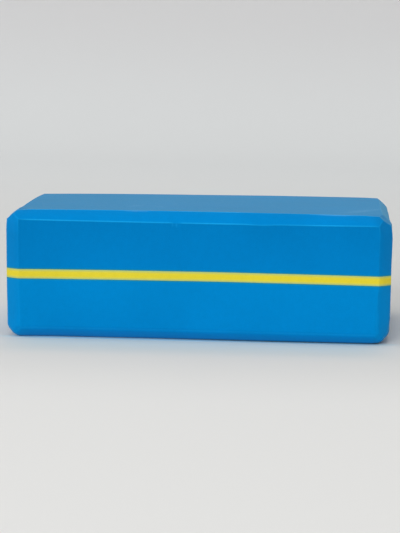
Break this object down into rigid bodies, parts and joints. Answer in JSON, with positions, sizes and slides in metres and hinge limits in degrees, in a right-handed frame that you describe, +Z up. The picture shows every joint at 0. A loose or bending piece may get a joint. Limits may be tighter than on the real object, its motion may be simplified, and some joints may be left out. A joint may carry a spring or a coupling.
{
  "type": "laminated foam block",
  "caption": "Rectangular closed-cell foam block with chamfered edges and a contrasting bonded middle layer, used as a prop or support.",
  "frame": {"origin": "middle of the flat underside that the block lies on", "axes": "+X along the length, +Y from the front face to the back face, +Z up through the thickness"},
  "size_m": [0.228, 0.152, 0.076],
  "materials": {
    "blue_foam": "matte closed-cell foam with a fine skin",
    "yellow_foam": "matte closed-cell foam, cut edge"
  },
  "bodies": {
    "root": {"lower_slab": "blue_foam", "middle_sheet": "yellow_foam", "upper_slab": "blue_foam"}
  },
  "joints": []
}
